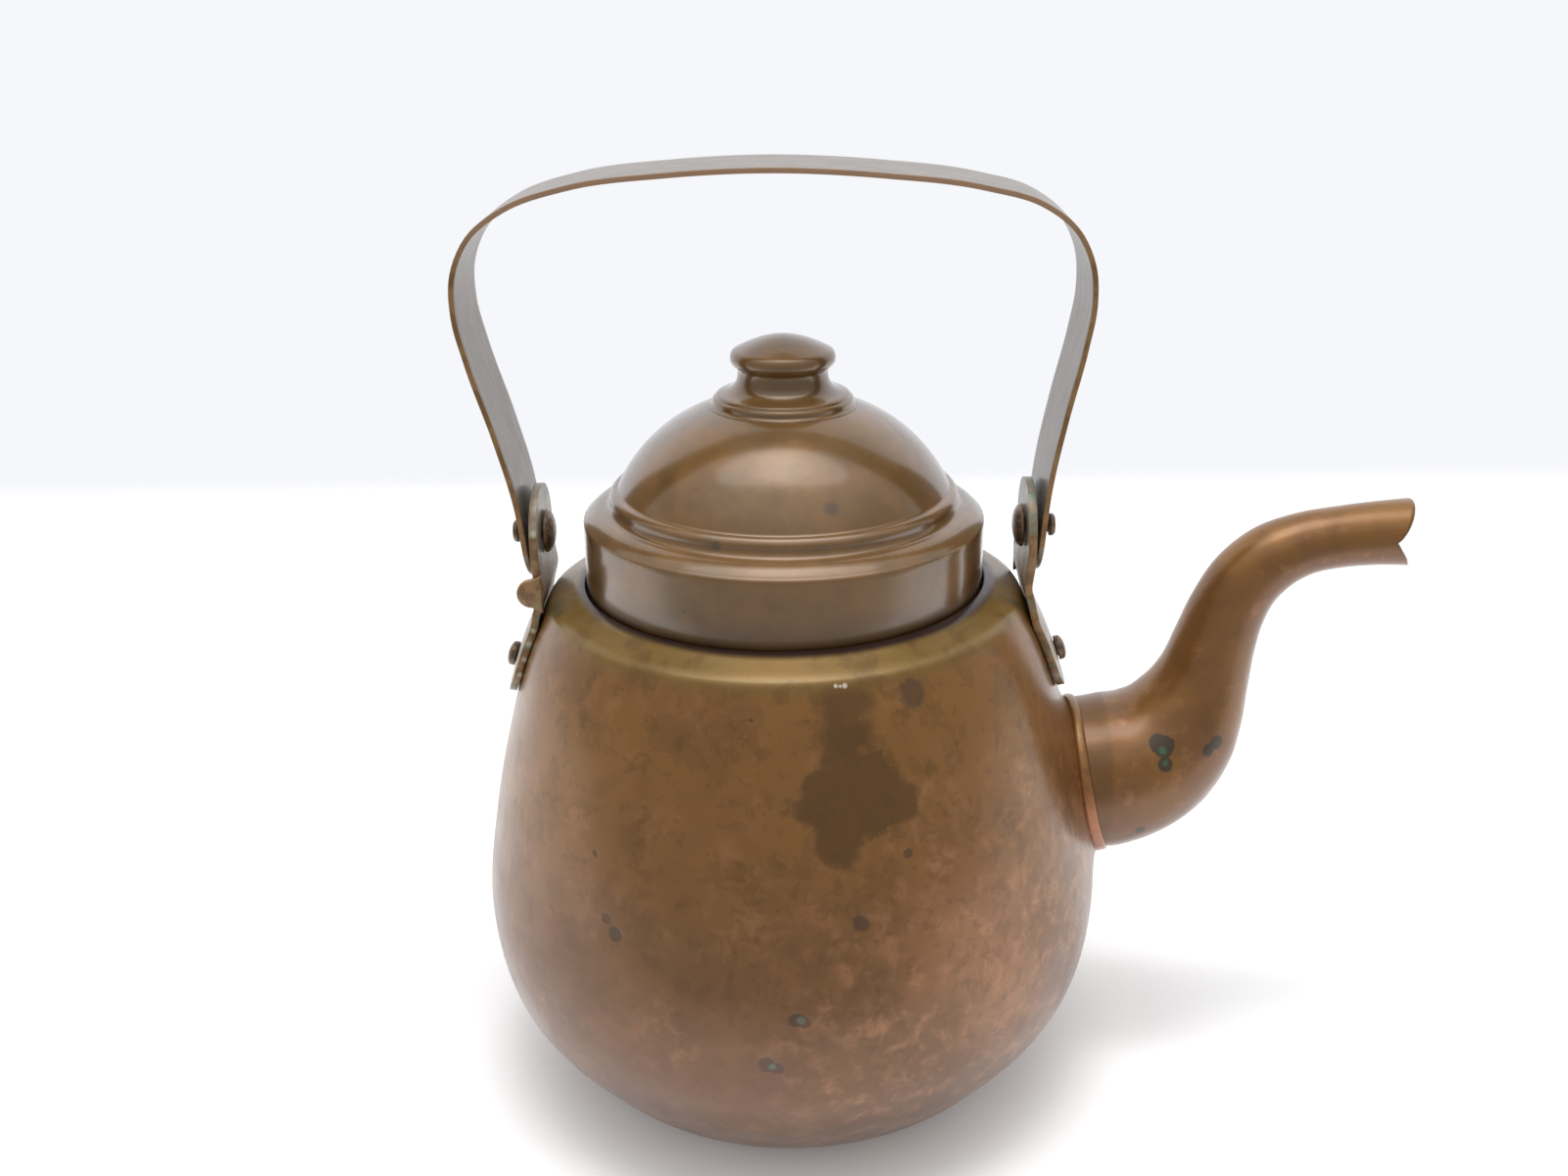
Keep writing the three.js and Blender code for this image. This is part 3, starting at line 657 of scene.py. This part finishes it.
def drawn_neck():
    """The body's metal drawn out round its spout hole, as one sheet that blends into the wall."""
    rows = [root_ring(SPOUT_RADIUS + FLARE + 3, -0.25)]
    steps = 14
    for i in range(steps + 1):
        t = i / steps
        rows.append(root_ring(SPOUT_RADIUS + 0.25 + FLARE * (1 - t) ** 1.6, 0.02 + NECK * t ** 2.2))
    rows.append(root_ring(SPOUT_RADIUS - 0.1, NECK + 0.12))
    rows.append(root_ring(SPOUT_RADIUS - 1.1, NECK))
    rows.append(root_ring(SPOUT_RADIUS - 1.1, -0.4))
    return rings("neck", rows, loop=True)


class KETTLE_OT_body(bpy.types.Operator):
    """Makes the spun body, drawn out round the spout, and the ring that the lid stands in"""
    bl_idname = "kettle.body"
    bl_label = "Body"

    def execute(self, context):
        sizes = context.scene.kettle_sizes
        shell = joined(turned_body(sizes.sides), drawn_neck())
        fitted(shell, spun_copper_brown_patina, "kettle", "body_copper", "body_shell", sunk=True)
        ledge = [(36.5, SEAT_LEDGE - 0.9), (42.1, SEAT_LEDGE - 0.9), (42.1, 107.9), (41.4, 108.1),
                 (41.2, SEAT_LEDGE),
                 (36.7, SEAT_LEDGE), (36.5, SEAT_LEDGE - 0.2), (36.5, SEAT_LEDGE - 0.9)]
        ring = turned("lid_seat", ledge, sizes.sides)
        fitted(ring, hot_tinned_copper, "kettle", "tinned_copper", "lid_seat_ring", sunk=True)
        return {"FINISHED"}


# ---------------------------------------------------------------- spout

def spout_rings(shrink, sides=72):
    """Rings along the spout. The last few follow the notched cut of its beak."""
    stations = through(SPOUT[1:], 0.9)
    rows = []
    cut_from = len(stations) - BEAK_ROWS
    end = stations[-1][0]
    for i, (x, radius, z) in enumerate(stations):
        before, after = stations[max(i - 1, 0)], stations[min(i + 1, len(stations) - 1)]
        along = Vector((after[0] - before[0], 0, after[2] - before[2])).normalized()
        row = []
        for j in range(sides):
            angle = 2 * pi * j / sides
            up = (radius - shrink) * cos(angle)
            point = Vector((x - along.z * up, (radius - shrink) * sin(angle), z + along.x * up))
            if i > cut_from:
                share = (x - stations[cut_from][0]) / (end - stations[cut_from][0])
                power = 0.75 if cos(angle) > 0 else 1.0
                point.x -= share * LIP_DEPTH * (1 - abs(cos(angle)) ** power)
            row.append(point)
        rows.append(row)
    return rows


class KETTLE_OT_spout(bpy.types.Operator):
    """Makes the swan-neck spout with its notched beak, and the brazed collar at its root"""
    bl_idname = "kettle.spout"
    bl_label = "Spout"

    def execute(self, context):
        outside, inside = spout_rings(0), spout_rings(WALL)
        root = [root_ring(SPOUT_RADIUS, lift, 72) for lift in (NECK + 0.2, NECK + 1.0, NECK + COLLAR)]
        inner_root = [root_ring(SPOUT_RADIUS - WALL, lift, 72) for lift in (NECK + COLLAR, NECK + 0.2)]
        clear = NECK + COLLAR + 0.4
        first = next(i for i, row in enumerate(outside)
                     if min(hypot(p.x, p.y) - body_radius(p.z) for p in row) > clear)
        axis = Vector((SPOUT[1][0] - SPOUT[0][0], 0, SPOUT[1][2] - SPOUT[0][2])).normalized()
        bend = []
        for t in BEND["shares"]:
            row = []
            for low, high, after in zip(root[-1], outside[first], outside[first + 1]):
                gap = (high - low).length
                onward = (after - high).normalized()
                row.append(low * (2 * t**3 - 3 * t**2 + 1) + axis * gap * (t**3 - 2 * t**2 + t)
                           + high * (3 * t**2 - 2 * t**3) + onward * gap * (t**3 - t**2))
            bend.append(row)
        skin = [*root, *bend, *outside[first:]]
        reach = len(bend) + BEND["smoothed"]
        for _ in range(BEND["passes"]):
            for i in range(1, reach):
                share = 0.5 * sin(pi * i / reach)
                near = zip(*skin[len(root) + i - 2:len(root) + i + 1])
                skin[len(root) + i - 1] = [b.lerp((a + c) / 2, share) for a, b, c in near]
        rows = [*skin, *reversed(inside[first + BEND["inside_from"]:]), *inner_root]
        tube = rings("kettle_spout", rows, loop=True)
        fitted(tube, drawn_copper_brown_patina, "kettle", "spout_copper", "spout_tube")
        band = [(SPOUT_RADIUS + 0.02, 0.05, 1.2), (SPOUT_RADIUS + 0.35, 0.1, 1.2),
                (SPOUT_RADIUS + 0.65, 0.3, 1.2),
                (SPOUT_RADIUS + 0.75, 0.8, 0.8), (SPOUT_RADIUS + 0.65, 1.4, 0), (SPOUT_RADIUS + 0.4, 1.85, 0),
                (SPOUT_RADIUS + 0.05, 2.0, 0)]
        collar = rings("brazed_collar",
                       [root_ring(radius, NECK + lift, fall=fall) for radius, lift, fall in band],
                       loop=True)
        fitted(collar, filed_brazed_copper, "kettle", "brazing_copper", "spout_collar")
        return {"FINISHED"}


# ---------------------------------------------------------------- ears and rivets

def ear_bow(y, z):
    """How far the ear's foot curves back with the body's wall, away from its middle line."""
    share = min(max((107 - z) / 7, 0), 1)
    radius = body_radius(min(z, 104))
    return share * share * (3 - 2 * share) * (sqrt(radius**2 - y**2) - radius)


def ear_plate(name, edge):
    """One ear, made on the +X side: a round top, straight sides and a foot that follows the body."""
    clear = EAR_GAP + EAR_THICKNESS / 2
    foot = [(body_radius(z) + clear, z) for z in (102.5, 98, 92, EAR_FOOT)]
    line = through([(49.2, PIVOT + EAR_TOP), *EAR_LINE, *foot], 0.7)
    widths = []
    for _, z in line:
        rise, sink = (z - PIVOT) / EAR_TOP, (EAR_FOOT + EAR_CORNER - z) / EAR_CORNER
        width = HALF_WIDTH
        if rise > 0:
            width = HALF_WIDTH * sqrt(max(1 - rise**2, 0.004))
        if sink > 0:
            width = HALF_WIDTH - EAR_CORNER + EAR_CORNER * sqrt(max(1 - sink**2, 0.002))
        widths.append(width)
    return plate(name, line, widths, EAR_THICKNESS, edge, ear_bow)


def stop_lug(edge):
    """The tab that is bent out from one edge of an ear."""
    radius = (LUG["high"] - LUG["low"]) / 2
    round_end = [(LUG["reach"] - radius + radius * sin(a), LUG["low"] + radius - radius * cos(a))
                 for a in (pi * i / 12 for i in range(13))]
    outline = [(48.0, LUG["low"] - 1.2), *round_end, (48.0, LUG["high"] + 0.8)]
    inner = HALF_WIDTH - 0.5
    return slab("lug", outline, inner, inner + EAR_THICKNESS, edge)


def along_x(x, z, tilt=0.0):
    """A frame whose Z points outward along X, tilted up, with its origin in the kettle's middle plane."""
    return Matrix.Translation((x, 0, z)) @ Matrix.Rotation(radians(90 - tilt), 4, "Y")


def head(radius, face, tip, corner=0.4):
    """A flattened domed rivet head, from its rim to its middle."""
    tall = tip - face
    return [(radius * 0.97, face), (radius, face + tall * 0.15), (radius * 0.98, face + tall * corner),
            *[(radius * cos(a), face + tall * (corner + (1 - corner) * sin(a)))
              for a in (pi / 2 * i / 7 for i in range(1, 7))], (0, tip)]


EAR_RIVET_SEAT = body_radius(EAR_RIVET_HEIGHT)
SIDES = {"right": 0.0, "left": pi}


def on_side(made, name):
    """Turns a piece that was made on the +X side to its own side."""
    made.data.transform(Matrix.Rotation(SIDES[name], 4, "Z"))
    return made


class KETTLE_OT_ears(bpy.types.Operator):
    """Makes the two ears, one stamped blank used twice, with the rivets and washers that hold them"""
    bl_idname = "kettle.ears"
    bl_label = "Ears"

    def execute(self, context):
        edge = context.scene.kettle_sizes.edge
        axis = along_x(EAR_RIVET_SEAT, EAR_RIVET_HEIGHT, EAR_RIVET_TILT)
        face = EAR_GAP + EAR_THICKNESS
        rivet = [(0, -4.6), (2.3, -4.5), (2.5, -4.1), (2.4, -3.5), (1.6, -3.4), (1.6, face + 0.05),
                 *head(2.6, face + 0.1, face + 2.0)]
        washer = [(1.9, -2.5), (3.4, -2.5), (3.6, -2.3), (3.6, -1.9), (3.4, -1.7), (1.9, -1.7), (1.9, -2.5)]
        for name in SIDES:
            ear = joined(ear_plate(f"ear_{name}", edge), stop_lug(edge))
            fitted(on_side(ear, name), stamped_copper_verdigris, "kettle", "ear_copper", f"{name}_ear")
            made = on_side(turned(f"rivet_{name}", rivet, 40, axis), name)
            fitted(made, oxidised_copper_rivet, "kettle", "rivet_copper", f"{name}_ear_rivet")
            made = on_side(turned(f"washer_{name}", washer, 40, axis), name)
            fitted(made, hot_tinned_copper, "kettle", "tinned_copper", f"{name}_ear_washer")
        return {"FINISHED"}


# ---------------------------------------------------------------- handle

class KETTLE_OT_handle(bpy.types.Operator):
    """Makes the strap handle and the loose rivets that it swings on"""
    bl_idname = "kettle.handle"
    bl_label = "Handle"

    def execute(self, context):
        line = through([*STRAP_LEFT, *STRAP_RIGHT], 1.4)
        widths = []
        for _, z in line:
            drop = max(PIVOT - z, 0) / STRAP_DROP
            widths.append(HALF_WIDTH * sqrt(max(1 - drop**2, 0.004)))
        strap = plate("strap", line, widths, STRAP_THICKNESS, context.scene.kettle_sizes.edge)
        fitted(strap, rolled_copper_strap, "handle", "strap_copper", "handle_strap")
        pivot = [(0, 46.1),
                 *[(4.4 * sin(a), 47.95 - 1.8 * cos(a)) for a in (pi / 2 * i / 8 for i in range(1, 9))],
                 (4.3, 48.15), (1.5, 48.2), (1.5, 53.4), (2.1, 53.45), (2.3, 53.7), (2.25, 54.3),
                 (1.9, 54.65),
                 (0, 54.8)]
        for name in SIDES:
            made = on_side(turned(f"pivot_{name}", pivot, 40, along_x(0, PIVOT)), name)
            fitted(made, oxidised_copper_rivet, "handle", "rivet_copper", f"{name}_pivot_rivet")
        return {"FINISHED"}


# ---------------------------------------------------------------- lid and knob

def lid_lean(sizes):
    """The lid sits a little askew in its seat."""
    rest = Matrix.Translation((0, 0, MOUTH[1] * MM))
    turn = Matrix.Rotation(sizes.lean_right, 4, "Y") @ Matrix.Rotation(-sizes.lean_front, 4, "X")
    return rest @ turn @ rest.inverted()


def lid_outside():
    """The lid's outer line, from the middle of its crown out to its skirt."""
    first, last = (asin(DOME[key] / DOME["radius"]) for key in ("top", "foot"))
    dome = []
    for i in range(41):
        angle = first + (last - first) * i / 40
        radius = DOME["radius"] + DOME["bulge"] * sin(pi * i / 40)
        dome.append((radius * sin(angle), DOME["centre"] + radius * cos(angle)))
    crown = [(2.3, dome[0][1]), (12.5, dome[0][1] - 0.05), (13.8, dome[0][1] - 0.1)]
    bead = through([(33.28, 128.66), (33.75, 128.6), (34.25, 128.25), (34.65, 127.75), (34.8, 127.1)], 0.25)
    cove = through([(34.72, 126.7), (34.85, 126.1), (35.25, 125.45), (35.9, 125.1)], 0.3)
    roll = through([(36.1, 125.05), (37.2, 124.75), (38.3, 124.2), (39.3, 123.4), (39.75, 122.95)], 0.3)
    edge = [(39.95, 122.8), (40.08, 122.6), (SKIRT["radius"], 122.3), (SKIRT["radius"], 121.5)]
    return [*crown, *dome, *bead, *cove, *roll, *edge]


class KETTLE_OT_lid(bpy.types.Operator):
    """Makes the domed lid with its beads and its skirt"""
    bl_idname = "kettle.lid"
    bl_label = "Lid"

    def execute(self, context):
        sizes = context.scene.kettle_sizes
        outside = lid_outside()
        inside = moved_in(outside, LID_SHEET)
        foot = SKIRT["foot"]
        skirt = [(SKIRT["radius"], 114), (SKIRT["radius"], foot + 0.4), (SKIRT["radius"] - 0.2, foot),
                 (SKIRT["radius"] - LID_SHEET, foot), (SKIRT["radius"] - LID_SHEET, 114)]
        lid = turned("lid", [*outside, *skirt, *reversed(inside), outside[0]], sizes.sides)
        lid.data.transform(lid_lean(sizes))
        fitted(lid, spun_copper_ochre_patina, "lid", "lid_copper", "lid_shell")
        return {"FINISHED"}


class KETTLE_OT_knob(bpy.types.Operator):
    """Makes the turned knob, and the screw and washer that hold it from below"""
    bl_idname = "kettle.knob"
    bl_label = "Knob"

    def execute(self, context):
        lean = lid_lean(context.scene.kettle_sizes)
        bead = through([(14.7, 145.0), (14.2, 145.25), (13.9, 145.6), (13.9, 146.15), (13.65, 146.65),
                        (13.2, 146.9)],
                       0.15)
        flare = through([(13.2, 147.0), (13.0, 147.35), (12.3, 147.6), (11.2, 147.95), (9.9, 148.75),
                         (9.15, 149.9),
                         (8.9, 151.2), (8.95, 152.2)], 0.3)
        cap = through([(9.15, 152.55), (9.8, 153.0), (10.2, 153.6), (10.35, 154.4), (10.2, 155.2),
                       (9.85, 155.75)],
                      0.2)
        crown = through([(9.6, 155.95), (8.6, 156.45), (7.0, 157.2), (4.9, 158.0), (2.4, 158.62),
                         (0, 158.85)], 0.4)
        bore = [(0, 152.9), (1.9, 152.9), (1.9, 145.1)]
        screw = [(0, 141.0), (2.8, 141.0), (3.4, 141.3), (3.4, 142.4), (3.1, 142.8), (1.6, 142.8),
                 (1.6, 151.9),
                 (0, 151.9)]
        washer = [(2.2, 143.1), (5.3, 143.1), (5.5, 143.3), (5.5, 143.7), (5.3, 143.9), (2.2, 143.9),
                  (2.2, 143.1)]
        knob = turned("knob", [*bore, *bead, *flare, *cap, *crown], 128)
        pin = turned("knob_pin", screw, 48)
        ring = turned("pin_washer", washer, 48)
        for made in (knob, pin, ring):
            made.data.transform(lean)
        fitted(knob, spun_copper_ochre_patina, "lid", "lid_copper", "lid_knob")
        fitted(pin, turned_tarnished_brass, "lid", "screw_brass", "knob_screw")
        fitted(ring, hot_tinned_copper, "lid", "tinned_copper", "knob_washer")
        return {"FINISHED"}


# ---------------------------------------------------------------- stage

CAMERA = {"place": (6.55, -308.4, 228.3), "down": 21.6, "turn": 1.32, "roll": -1.15, "sensor": 36}
FLOOR_REACH = {"back": 0.42, "side": 1.3, "front": 1.3}
LAMP = {"place": (0, -0.09, 0.94), "size": (0.78, 0.32), "nested": (1.4, 1.15, 0.9, 0.65, 0.4)}


def white_cloth_painted_glow(tree, place, finish):
    """Matt white cloth without gloss, fading out at its rim. A painted glow makes it brightest away from the
    kettle, and a painted shade lies round the kettle's foot and toward the camera.
    """
    folds = add(tree, "Bump", {"Height": blotches(tree, place, 140, 0.2, 0.8, detail=2.0, warp=0.8),
                               "Distance": 3 * MM})
    # painted shade: the cloth turns greyer toward the camera
    shaded = layered(tree, finish.floor, (along(tree, place, "Y", -95, -190), colour("#b0ada9")))
    # painted glow: the cloth gives off light of its own, weaker round the kettle's foot and toward the
    # camera, which paints shade there
    painted_glow_strength = add(tree, "Math", {0: around(tree, place, 40, 75, 0.14, 0.36),
                                    1: along(tree, place, "Y", -250, -95)}, operation="MULTIPLY")
    cloth = add(tree, "BsdfDiffuse", {"Color": shaded, "Normal": folds})
    painted_floor_glow = add(tree, "Emission", {"Color": colour("#f4f4f6"), "Strength": painted_glow_strength})
    cloth_and_painted_glow = add(tree, "AddShader", {0: cloth, 1: painted_floor_glow})
    clear = add(tree, "BsdfTransparent")
    edge = along(tree, place, "Y", FLOOR_REACH["back"] / MM, FLOOR_REACH["back"] / MM - 60)
    fade = bpy.context.scene.kettle_stage.soft_edge
    return add(tree, "MixShader", {0: edge if fade else 1.0, 1: clear, 2: cloth_and_painted_glow})


class KETTLE_OT_stage(bpy.types.Operator):
    """Makes the pale floor, the soft light and the camera"""
    bl_idname = "kettle.stage"
    bl_label = "Stage"

    def execute(self, context):
        scene, stage = context.scene, context.scene.kettle_stage
        back, side, front = (FLOOR_REACH[k] / MM for k in ("back", "side", "front"))
        floor = piece("floor", [(-side, -front, 0), (side, -front, 0), (side, back, 0), (-side, back, 0)],
                      [(0, 1, 2, 3)])
        floor.data.materials.append(finish_of(white_cloth_painted_glow))

        # lamps one inside the other give a reflection that is soft at its rim
        for i, share in enumerate(LAMP["nested"]):
            lamp = bpy.data.lights.new(f"overhead_lamp_{i}", "AREA")
            lamp.shape = "ELLIPSE"
            lamp.size, lamp.size_y = (side * share for side in LAMP["size"])
            lamp.energy = stage.lamp / len(LAMP["nested"])
            lamp_object = bpy.data.objects.new(lamp.name, lamp)
            lamp_object.location = LAMP["place"]
            scene.collection.objects.link(lamp_object)

        world = bpy.data.worlds.new("white_surroundings")
        world.use_nodes = True
        tree = world.node_tree
        tree.nodes.clear()
        way = add(tree, "TexCoord", out="Generated")
        toward = add(tree, "SeparateXYZ", {0: way}, "Z")
        depth = add(tree, "SeparateXYZ", {0: way}, "Y")
        high = add(tree, "MapRange", {"Value": toward, "From Min": 0.4, "From Max": 0.8}, **SMOOTH)
        near = add(tree, "MapRange", {"Value": depth, "From Min": 0.7, "From Max": -0.1}, **SMOOTH)
        tint = layered(tree, colour("#f6f7fb"), (near, colour("#aca8a2")), (high, colour("#dedede")))
        sky = add(tree, "Background", {"Color": tint, "Strength": stage.sky})
        add(tree, "OutputWorld", {"Surface": sky})
        scene.world = world
        scene.view_settings.view_transform = "Standard"

        camera = bpy.data.cameras.new("camera")
        camera.lens = stage.lens
        camera.sensor_width = CAMERA["sensor"]
        camera.clip_start = 0.01
        view = bpy.data.objects.new("camera", camera)
        view.matrix_world = (Matrix.Translation(Vector(CAMERA["place"]) * MM)
                             @ Matrix.Rotation(radians(CAMERA["turn"]), 4, "Z")
                             @ Matrix.Rotation(radians(90 - CAMERA["down"]), 4, "X")
                             @ Matrix.Rotation(radians(CAMERA["roll"]), 4, "Z"))
        scene.collection.objects.link(view)
        scene.camera = view
        return {"FINISHED"}


class KETTLE_PT_parts(bpy.types.Panel):
    """Lists the kettle's settings and the steps that make it"""
    bl_idname = "KETTLE_PT_parts"
    bl_label = "Copper kettle"
    bl_space_type = "VIEW_3D"
    bl_region_type = "UI"
    bl_category = "Kettle"

    def draw(self, context):
        for group in ("kettle_sizes", "kettle_finish", "kettle_stage"):
            settings = getattr(context.scene, group)
            box = self.layout.box()
            for key in type(settings).__annotations__:
                box.prop(settings, key)
        for operator in OPERATORS:
            self.layout.operator(operator.bl_idname)


GROUPS = {"kettle_sizes": KettleSizes, "kettle_finish": KettleFinish, "kettle_stage": KettleStage}
OPERATORS = (KETTLE_OT_body, KETTLE_OT_spout, KETTLE_OT_ears, KETTLE_OT_handle, KETTLE_OT_lid, KETTLE_OT_knob,
             KETTLE_OT_stage)


def register():
    for item in (*GROUPS.values(), *OPERATORS, KETTLE_PT_parts):
        bpy.utils.register_class(item)
    for key, group in GROUPS.items():
        setattr(bpy.types.Scene, key, PointerProperty(type=group))


def unregister():
    for key in GROUPS:
        delattr(bpy.types.Scene, key)
    for item in reversed((*GROUPS.values(), *OPERATORS, KETTLE_PT_parts)):
        bpy.utils.unregister_class(item)


def main():
    register()
    for operator in OPERATORS:
        getattr(bpy.ops.kettle, operator.bl_idname.split(".")[1])()
    bpy.context.view_layer.update()


if __name__ == "__main__":
    main()
